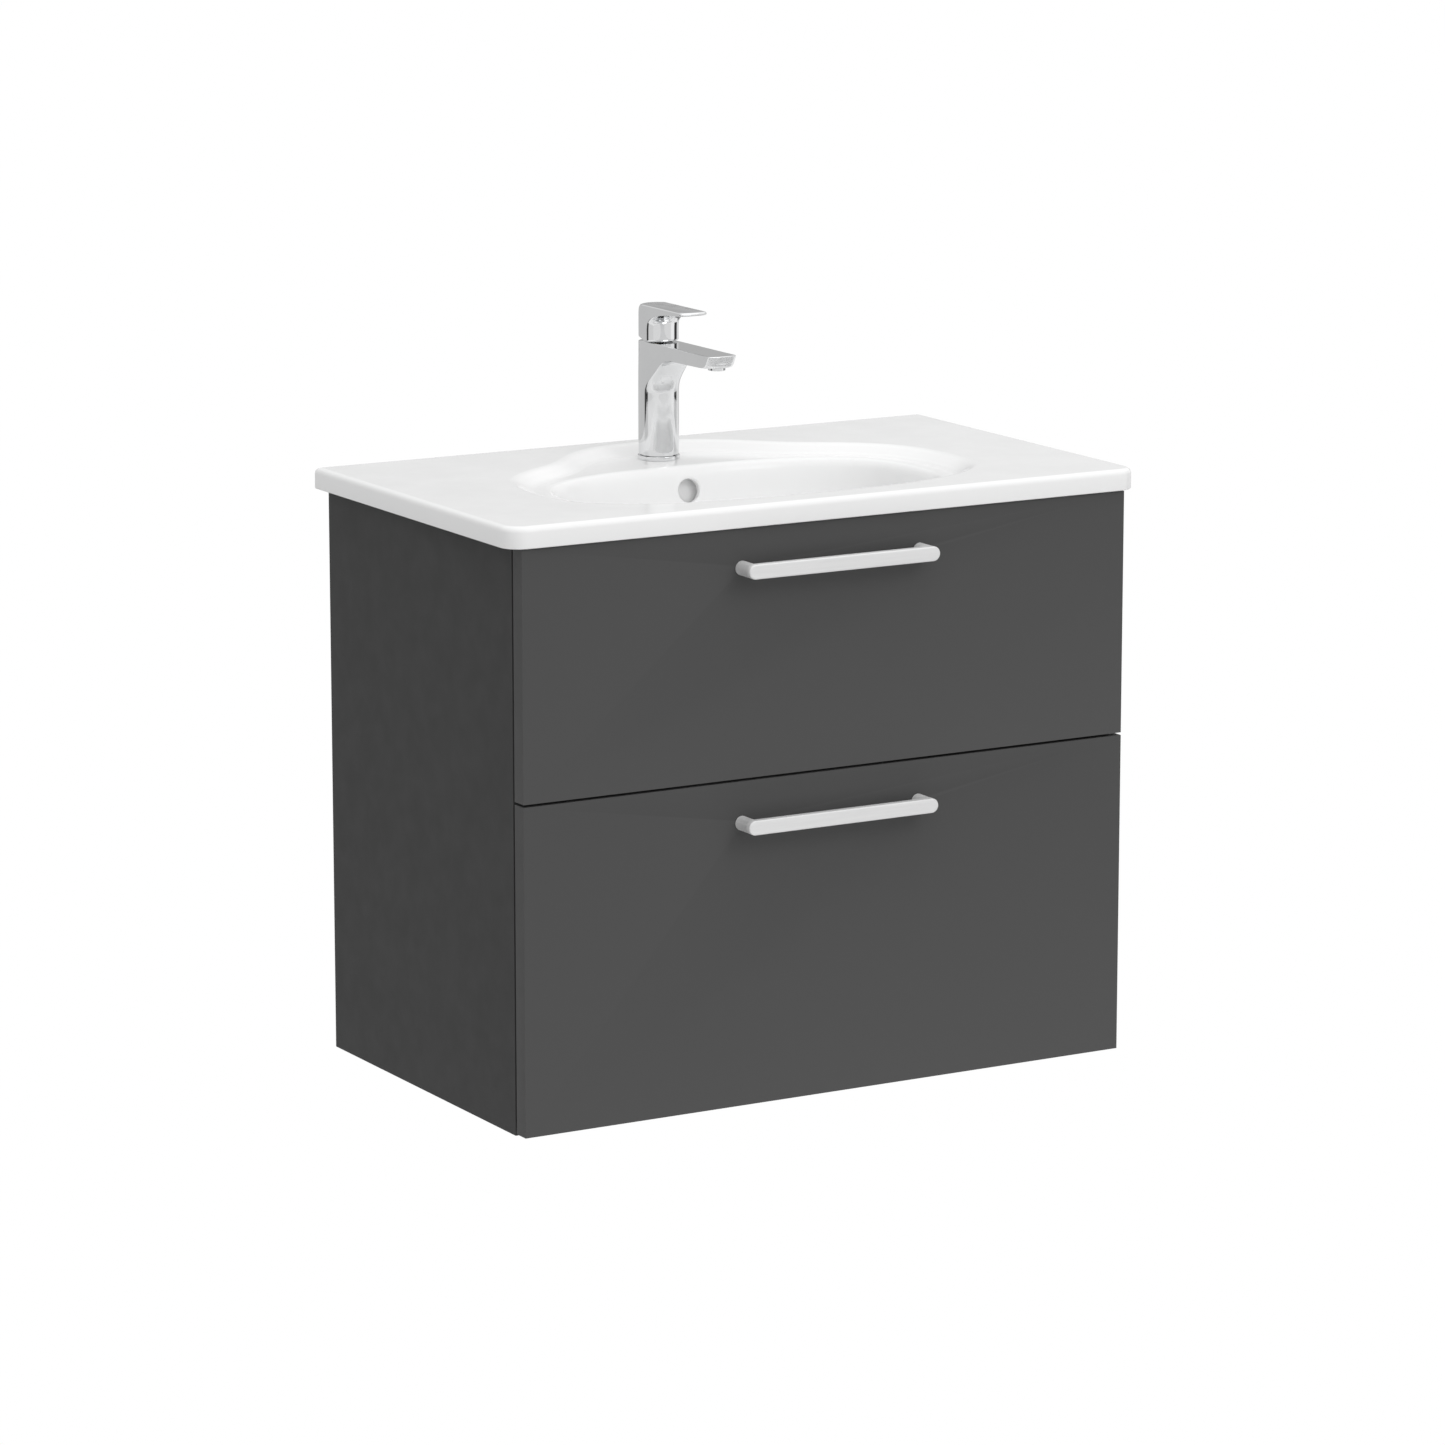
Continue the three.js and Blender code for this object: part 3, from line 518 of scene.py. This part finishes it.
# ------------------------------------------------------------------ smooth curves
def smooth_through(stations, values, samples):
    """Shape-preserving cubic through values (rows) at stations, evaluated at samples."""
    stations, values = np.asarray(stations, float), np.asarray(values, float)
    step = np.diff(stations)
    slope = np.diff(values, axis=0) / step[:, None]
    tangent = np.zeros_like(values)
    same = slope[:-1] * slope[1:] > 0
    weight_a = (2 * step[1:] + step[:-1])[:, None]
    weight_b = (step[1:] + 2 * step[:-1])[:, None]
    with np.errstate(divide="ignore", invalid="ignore"):
        mean = (weight_a + weight_b) / (weight_a / slope[:-1] + weight_b / slope[1:])
    tangent[1:-1] = np.where(same, mean, 0.0)
    tangent[0], tangent[-1] = slope[0], slope[-1]
    index = np.clip(np.searchsorted(stations, samples, side="right") - 1, 0, len(step) - 1)
    h = step[index][:, None]
    t = ((samples - stations[index]) / step[index])[:, None]
    return ((1 + 2 * t) * (1 - t) ** 2 * values[index] + t * (1 - t) ** 2 * h * tangent[index]
            + t * t * (3 - 2 * t) * values[index + 1] + t * t * (t - 1) * h * tangent[index + 1])


# ------------------------------------------------------------------ basin
def reach(angles, inside, far=700.0):
    """Distance from the bowl centre to an outline along each angle, by halving."""
    low, high = np.zeros_like(angles), np.full_like(angles, far)
    for _ in range(45):
        middle = (low + high) / 2
        held = inside(middle * np.cos(angles), BOWL_Y + middle * np.sin(angles))
        low, high = np.where(held, middle, low), np.where(held, high, middle)
    return low


def in_slab(inset):
    """Test for points inside the slab's outline, moved in by an inset."""
    def inside(x, y):
        front_side = y < -BASIN_DEPTH / 2
        radius = np.where(front_side, CORNER_FRONT, CORNER_BACK) - inset
        radius = np.maximum(radius, 0.2)
        dx = np.abs(x) - (BASIN_WIDTH / 2 - inset - radius)
        dy = np.abs(y + BASIN_DEPTH / 2) - (BASIN_DEPTH / 2 - inset - radius)
        outside = np.hypot(np.maximum(dx, 0), np.maximum(dy, 0))
        return outside + np.minimum(np.maximum(dx, dy), 0) < radius
    return inside


def oval(shape, angles):
    """Distance from the bowl centre to an oval whose rear and front depths differ."""
    depth = np.where(np.sin(angles) > 0, shape["rear"], shape["front"])
    across = np.abs(np.cos(angles) / shape["a"]) ** shape["n"]
    along = np.abs(np.sin(angles) / depth) ** shape["n"]
    return (across + along) ** (-1 / shape["n"])


def corner_angles():
    """Even rays from the bowl centre, with closer ones through the slab's corners."""
    angles = list(full_turn(240))
    for side in (-1, 1):
        for radius, y, turn in ((CORNER_FRONT, -BASIN_DEPTH, -1), (CORNER_BACK, 0.0, 1)):
            for a in quarter_turn(15):
                corner_x = BASIN_WIDTH / 2 - radius * (1 - math.cos(a))
                corner_y = y - turn * radius * (1 - math.sin(a))
                angles.append(math.atan2(corner_y - BOWL_Y, side * corner_x) % (2 * math.pi))
    ordered = np.sort(np.array(angles))
    keep = np.concatenate([[True], np.diff(ordered) > 1e-4])
    return ordered[keep]


def basin_rows():
    """Rings of the basin, from its lower edge over the slab, down into the bowl and back below.
    A ring is a distance from the bowl centre along each ray, and a height."""
    angles = corner_angles()
    ones = np.ones_like(angles)
    rim = oval(BOWL, angles)
    recess = oval(RECESS, angles)
    across = np.abs(recess * np.cos(angles)) / TAP_BAY_HALF
    recess = recess + np.where(np.sin(angles) > 0, TAP_BAY_DEPTH * np.exp(-across ** 2.5), 0)
    span = recess - rim

    def slab(inset):
        return reach(angles, in_slab(inset))

    def step(part):
        return recess - part * np.minimum(STEP_WIDTH, 0.6 * span)

    def before_rim(distance, share):
        return rim + np.minimum(distance, share * span)

    edge = [(slab(LOW_ROUND * (1 - math.sin(a))), CARCASS_TOP + LOW_ROUND * (1 - math.cos(a)))
            for a in quarter_turn(5)]
    edge += [(slab(TOP_ROUND * (1 - math.cos(a))), DECK - TOP_ROUND * (1 - math.sin(a)))
             for a in quarter_turn(9)]
    deck = [(slab(TOP_ROUND + 2), DECK), (recess + 5, DECK)]
    controls = [
        (recess + 5, DECK), (recess, DECK - 0.1), (step(0.2), DECK - 0.1 * LEDGE_DROP),
        (step(0.5), DECK - 0.5 * LEDGE_DROP), (step(0.8), DECK - 0.9 * LEDGE_DROP),
        (step(1), LEDGE), (before_rim(10, 0.36), LEDGE), (before_rim(3, 0.14), LEDGE - 1),
    ]
    controls += [(rim - distance, z) for distance, z in BOWL_WALL_SECTION]
    controls += [(FLOOR_EDGE * ones, FLOOR_RIM), ((WASTE_HOLE + 12) * ones, WASTE_SEAT + 0.6),
                 (SEAT_EDGE * ones, WASTE_SEAT)]
    gaps = [max(0.6, float(np.mean(np.hypot(b[0] - a[0], b[1] - a[1]))))
            for a, b in zip(controls, controls[1:])]
    stations = np.cumsum([0.0] + gaps)
    samples = np.concatenate([np.linspace(a, b, 5, endpoint=False)
                              for a, b in zip(stations, stations[1:])])
    values = smooth_through(stations, [np.append(radius, z) for radius, z in controls], samples[1:])
    inside = [(value[:-1], value[-1]) for value in values]
    below = [
        (SEAT_EDGE, WASTE_SEAT), (WASTE_HOLE, WASTE_SEAT), (WASTE_HOLE, WASTE_SEAT - COLLAR),
        (WASTE_HOLE + 16, WASTE_SEAT - COLLAR), (FLOOR_EDGE + 8, FLOOR_RIM - WALL),
        (rim - 52, DECK - 119 - WALL), (rim - 22, DECK - 107 - WALL), (rim - 6, DECK - 90),
        (rim + 1, DECK - 54), (rim + 8, CARCASS_TOP - 3), (rim + 12, CARCASS_TOP),
        (slab(30), CARCASS_TOP),
    ]
    return [[place(r * math.cos(a), BOWL_Y + r * math.sin(a), z)
             for r, a in zip(radius * ones, angles)]
            for radius, z in edge + deck + inside + below]


def behind(section, depths):
    """Bowl section through the rear wall, moved away from the bowl by a depth per point."""
    points = np.array(section, float)
    along = np.gradient(points, axis=0)
    along /= np.linalg.norm(along, axis=1, keepdims=True)
    away = np.stack([-along[:, 1], along[:, 0]], axis=1)
    return points + away * np.array(depths, float)[:, None]


def bar_along_x(name, outline, half):
    """Prism of a (distance behind the bowl centre, height) outline, from -half to +half."""
    rows = [[place(x, BOWL_Y + y, z) for y, z in outline] for x in (-half, half)]
    return grid_object(name, rows, close_cols=True, caps=(True, True))


def overflow_cutter():
    """Plug that cuts the overflow hole square to the bowl's wall, with a rounded lip."""
    mouth, lip = OVERFLOW_RADIUS, OVERFLOW_LIP
    profile = [(mouth + lip + 0.6, -6), (mouth + lip + 0.6, -0.1)]
    profile += [(mouth + lip * (1 - math.sin(a)), lip * (1 - math.cos(a)) - 0.1)
                for a in quarter_turn(7)]
    profile += [(mouth, (DUCT_FRONT + DUCT_BACK) / 2)]
    rows = [[(r * math.cos(a) * MM, y * MM, r * math.sin(a) * MM) for a in full_turn(96)]
            for r, y in profile]
    cutter = grid_object("overflow_cutter", rows, close_cols=True, caps=(True, True))
    centre = Matrix.Translation(place(0, OVERFLOW_Y, OVERFLOW_Z))
    cutter.data.transform(centre @ Matrix.Rotation(-OVERFLOW_TILT, 4, "X"))
    return cutter


def add_overflow(basin):
    """Hollow rib down the back of the bowl, with the round overflow hole at its top."""
    section = [(BOWL["rear"] - distance, z) for distance, z in BOWL_WALL_SECTION]
    section += [*BOWL_FLOOR_SECTION, (WASTE_HOLE + 1, WASTE_SEAT)]
    near = [4 if z > WASTE_SEAT else COLLAR - 2 for _, z in section]
    outer = [DUCT_SHELL] * (len(section) - 3) + [COLLAR + 2, COLLAR, COLLAR]
    rib = [*behind(section, near), *behind(section, outer)[::-1]]
    join(basin, bar_along_x("duct_rib", rib, SHELL_HALF))
    channel = [(BOWL["rear"] - 4.7, CARCASS_TOP - 1), *section[2:-1], (WASTE_HOLE - 1, WASTE_SEAT)]
    front, back = [DUCT_FRONT] * len(channel), [DUCT_BACK] * len(channel)
    way = [*behind(channel, front), *behind(channel, back)[::-1]]
    cut(basin, bar_along_x("duct_way", way, DUCT_HALF))
    cut(basin, overflow_cutter())


def make_basin(glaze):
    basin = grid_object("basin_glazed", basin_rows(), close_rows=True, close_cols=True, sharp=50)
    add_overflow(basin)
    cut(basin, rod("tap_hole_cutter", (0, TAP_Y, CARCASS_TOP - 20), (0, TAP_Y, DECK + 20),
                   TAP_HOLE))
    basin.data.set_sharp_from_angle(angle=math.radians(50))
    dress(basin, "cabinet", glaze, "white_ceramic", "basin")


# ------------------------------------------------------------------ waste
def make_waste(metal, seal):
    """Waste body with its flange, the plug and the gasket; heights are above the waste's seat."""
    centre = (0, BOWL_Y)
    body = turned("waste_flange_tube", centre, lifted(WASTE_SEAT, [
        (19, -78), (19, 1), (27, 1.6), (32, 1), (32, 0.3), (22, 0.3), (22, -78)]), 0.5)
    dress(body, "cabinet", metal, "chrome", "waste_body")
    plug = turned_solid("waste_plug_cap", centre, lifted(WASTE_SEAT, [
        (0, -60), (3.8, -60), (3.8, -4), (18, -4), (18, 2), (30, 2.4), (30.5, 4), (24, 6.4),
        (0, 7.4)]), 1.0)
    dress(plug, "waste_plug", metal, "chrome", "waste_plug")
    gasket = turned("waste_seal", centre, lifted(WASTE_SEAT, [
        (22.3, -21), (22.3, -16.3), (34, -16.3), (34, -21)]), 1.0)
    dress(gasket, "cabinet", seal, "black_rubber", "waste_gasket")


# ------------------------------------------------------------------ tap
def tap_ring(half, radius, straight, front, power, inset=0.0, count=(44, 20, 40)):
    """Plan outline of the tap at one height, about the tap axis: a round rear cut by flat
    sides, sides running forward to 'straight', and a front reaching 'front' that is round
    when power is 2 and squarer above it. The counts are points of the rear, a side, the front."""
    rear, side, nose = count
    start = math.acos(min(1.0, half / radius))
    points = [(radius * math.cos(a), radius * math.sin(a))
              for a in np.linspace(start, math.pi - start, rear)]
    side_y = np.linspace(points[-1][1], -straight, side + 1)[1:-1]
    points += [(-half, y) for y in side_y]
    for a in np.linspace(-math.pi / 2, math.pi / 2, nose + 1):
        x = math.copysign(abs(math.sin(a)) ** (2 / power), a)
        y = abs(math.cos(a)) ** (2 / power)
        points.append((half * x, -straight - (front - straight) * y))
    points += [(half, y) for y in side_y[::-1]]
    return shrink(points, inset) if inset else points


def shrink(points, distance):
    """Moves a closed anticlockwise outline inwards along its own normals."""
    array = np.array(points)
    along = np.roll(array, -1, axis=0) - np.roll(array, 1, axis=0)
    along /= np.maximum(np.linalg.norm(along, axis=1, keepdims=True), 1e-9)
    inward = np.stack([-along[:, 1], along[:, 0]], axis=1)
    return [tuple(p) for p in array + inward * distance]


def tap_loft(name, stations, floor, roof, per_span=6):
    """Loft of plan outlines stacked upwards. A station is (height, half width, rear radius,
    straight, front, power); floor and roof are (inset, height) rings added at the ends."""
    spans = len(stations) - 1
    samples = np.linspace(0, spans, spans * per_span + 1)
    values = smooth_through(np.arange(spans + 1), stations, samples)
    rings = [(tap_ring(*stations[0][1:], inset=inset), z) for inset, z in floor]
    rings += [(tap_ring(*shape), z) for z, *shape in values]
    rings += [(tap_ring(*stations[-1][1:], inset=inset), z) for inset, z in roof]
    rows = [[place(x, TAP_Y + y, LEDGE + z) for x, y in ring] for ring, z in rings]
    return grid_object(name, rows, close_cols=True, caps=(True, True), sharp=40)


def upright_rod(name, ahead, low, high, radius):
    """Rod parallel to the tap axis and ahead of it, between two heights above the ledge."""
    return rod(name, (0, TAP_Y - ahead, LEDGE + low), (0, TAP_Y - ahead, LEDGE + high), radius)


def make_tap_body(metal):
    """Round column that grows forward into the spout."""
    rear = TAP_RADIUS
    body = tap_loft("tap_body_cast", [
        (7.0, rear, rear, 0.0, rear, 2), (40.0, rear, rear, 0.0, rear, 2),
        (78.0, rear, rear, 0.0, rear, 2), (88.0, 22.4, rear, 4.0, 24.2, 2.05),
        (98.0, 20.4, rear, 16.0, 28.5, 2.2), (106.5, 19.2, rear, 27.0, 34.5, 2.4),
        (113.0, 18.6, rear, 34.0, 40.5, 2.5), (118.0, 18.3, rear, 44.0, 50.5, 2.6),
        (120.6, 18.2, rear, 62.0, 69.0, 2.6), (121.1, 18.2, rear, 98.0, 108.0, 2.5),
        (121.8, 18.2, rear, 128.0, 142.6, 2.3), (124.0, 18.2, rear, 134.0, 145.6, 2.5),
        (129.0, 18.2, rear, 138.6, 147.0, 2.8), (134.0, 18.2, rear, 141.6, 148.6, 3.1),
        (135.3, 18.2, rear, 142.0, 149.0, 3.2)],
        floor=[(3, 5.3), (1.5, 5.3), (1.4, 6.3), (0.1, 6.5)],
        roof=[(0.2, 135.75), (0.7, 136.0), (3.0, 136.0)])
    cut(body, upright_rod("chamber", 0, 90, 140, CARTRIDGE_CHAMBER))
    cut(body, upright_rod("outlet", AERATOR_REACH, 115, 131, 10.4))
    dress(body, "cabinet", metal, "chrome", "tap_body")


def make_tap_rings(metal, moulded):
    """Base ring, cartridge collar and aerator with its plastic insert."""
    axis, outlet = (0, TAP_Y), (0, TAP_Y - AERATOR_REACH)
    base = turned("tap_base_trim", axis, lifted(LEDGE, [
        (19, 0), (19, 5), (24.3, 5), (24.4, 0)]), 0.7)
    dress(base, "cabinet", metal, "chrome", "tap_base_ring")
    shell = turned("aerator_shell", outlet, lifted(LEDGE, [
        (7.4, 119.4), (8.2, 118.4), (10, 118.8), (10, 130), (7.4, 130)]), 0.5)
    dress(shell, "cabinet", metal, "chrome", "aerator")
    insert = turned_solid("aerator_insert", outlet, lifted(LEDGE, [
        (0, 120.2), (1.6, 120.2), (2.0, 121.2), (2.6, 121.2), (3.0, 120.2), (4.2, 120.2),
        (4.6, 121.2), (5.2, 121.2), (5.6, 120.2), (7.4, 120.2), (7.4, 129), (0, 129)]), 0.1, 64)
    dress(insert, "cabinet", moulded, "grey_plastic")
    collar = turned("cartridge_collar", axis, lifted(LEDGE, [
        (12, 126.3), (12, 138.5), (16, 138.5), (17.6, 136), (17.6, 126.3)]), 0.4)
    dress(collar, "cabinet", metal, "chrome", "cartridge_nut")


def make_lever(metal):
    """Round hub that grows forward into a flat wedge, hollow over the cartridge."""
    rear = LEVER_REAR
    lever = tap_loft("lever_cast", [
        (LEVER_FOOT, 21.2, rear, 6.0, 21.4, 2), (LEVER_SHOULDER, 21.2, rear, 6.0, 21.4, 2),
        (158.0, 21.0, rear, 7.5, 21.6, 2), (163.0, 20.4, rear, 13.0, 24.0, 2.2),
        (167.0, 19.6, rear, 23.0, 31.0, 2.3), (170.0, 18.8, rear, 36.0, 44.0, 2.5),
        (172.0, 18.2, rear, 54.0, 62.0, 2.7), (173.4, 18.0, 22.6, 73.0, 80.5, 3.0),
        (174.8, 17.8, 22.2, 76.6, 84.0, 3.2), (175.8, 17.6, 21.6, 77.0, 84.6, 3.2)],
        floor=[(4, LEVER_FOOT - 0.6), (0.6, LEVER_FOOT - 0.6), (0.2, LEVER_FOOT - 0.4)],
        roof=[(0.5, 176.7), (1.3, 177.3), (2.4, 177.7)])
    for vertex in lever.data.vertices:
        y, z = vertex.co.y / MM - TAP_Y, (vertex.co.z / MM + RAIL_HEIGHT) - LEDGE
        if z < LEVER_SHOULDER and y > RELIEF_START:
            low = (LEVER_SHOULDER - z) / (LEVER_SHOULDER - LEVER_FOOT)
            vertex.co.z += RELIEF_SLOPE * (y - RELIEF_START) * min(low, 1) * MM
    cut(lever, upright_rod("hollow", 0, 130, 158, 18.2))
    screw_z = LEDGE + LEVER_SCREW
    cut(lever, rod("screw_hole", (0, TAP_Y + 4, screw_z), (0, TAP_Y + 26, screw_z),
                   LEVER_SCREW_RADIUS))
    dress(lever, "tap_lever", metal, "chrome", "lever")


# ------------------------------------------------------------------ handles
def make_handle(name, metal):
    """Flat bar with round ends on two round legs, edges softened."""
    z = HANDLE_Z[name]
    front = FRONT_FACE - HANDLE_PROJECTION
    back = front + HANDLE_BAR
    ends = ((HANDLE_HALF_SPAN, -math.pi / 2), (-HANDLE_HALF_SPAN, math.pi / 2))
    outline = [(centre, math.cos(a), math.sin(a)) for centre, start in ends
               for a in np.linspace(start, start + math.pi, 25)]

    def loop(inset, y):
        radius = HANDLE_RADIUS - inset
        return [place(centre + radius * c, y, z + radius * s) for centre, c, s in outline]

    soft = HANDLE_SOFT
    layers = [(3.0, front)]
    layers += [(soft * (1 - math.sin(a)), front + soft * (1 - math.cos(a)))
               for a in quarter_turn(6)]
    layers += [(soft * (1 - math.cos(a)), back - soft * (1 - math.sin(a)))
               for a in quarter_turn(6)]
    layers += [(3.0, back)]
    rows = [loop(*layer) for layer in layers]
    bar = grid_object(f"{name}_handle_bar", rows, close_cols=True, caps=(True, True))
    for x in (-HANDLE_HALF_SPAN, HANDLE_HALF_SPAN):
        join(bar, rod("leg", (x, front + 3, z), (x, FRONT_FACE, z), HANDLE_RADIUS - 0.1, 64))
    bar.data.set_sharp_from_angle(angle=math.radians(40))
    dress(bar, f"{name}_drawer", metal, "satin_handle", f"{name}_handle")


# ------------------------------------------------------------------ carried-over CAD nodes
def soften(node, material, width):
    """A CAD node keeps its mesh and gets a better material and, unless width is 0, a bevel."""
    obj = frame["nodes"][node]
    obj.data.materials.clear()
    obj.data.materials.append(material)
    for polygon in obj.data.polygons:
        polygon.use_smooth = True
    if width:
        bevel = obj.modifiers.new("edges", "BEVEL")
        bevel.width = width * MM
        bevel.segments = 3
        bevel.limit_method = "ANGLE"
        bevel.angle_limit = math.radians(40)
        bevel.harden_normals = True
    else:
        obj.data.set_sharp_from_angle(angle=math.radians(35))


def dress_nodes(by_slot, shaded_side_lacquer):
    """Every node that no piece replaces takes its slot's material and a bevel to suit; the side
    panels take a darker copy of the lacquer, painted shade for their less-lit side.
    """
    widths = {"matt_anthracite": 0.9, "drawer_grey": 0.7, "grey_plastic": 0.4, "zinc_steel": 0.15}
    for part in frame["record"]["subparts"]:
        node, slot = part["node"], part["material_slot"]
        if node not in replaced_nodes:
            # side panels get the darker copy of the lacquer: painted shade, not a different finish
            material = shaded_side_lacquer if node.startswith("side_panel") else by_slot[slot]
            soften(node, material, widths.get(slot, 0.0))


def main():
    make_camera()
    make_studio()
    by_slot = {
        "matt_anthracite": anthracite("matt_anthracite", FRONT_GREY), "drawer_grey": drawer_board(),
        "white_ceramic": ceramic(), "chrome": chrome(), "satin_handle": satin_aluminium(),
        "zinc_steel": zinc(), "raw_brass": brass(), "black_rubber": rubber(),
        "grey_plastic": plastic(),
    }
    make_basin(by_slot["white_ceramic"])
    make_waste(by_slot["chrome"], by_slot["black_rubber"])
    make_tap_body(by_slot["chrome"])
    make_tap_rings(by_slot["chrome"], by_slot["grey_plastic"])
    make_lever(by_slot["chrome"])
    for name in HANDLE_Z:
        make_handle(name, by_slot["satin_handle"])
    # darker copy of the front lacquer for the side panels: painted shade
    dress_nodes(by_slot, anthracite("shaded_side_lacquer", SHADED_SIDE_GREY))


main()
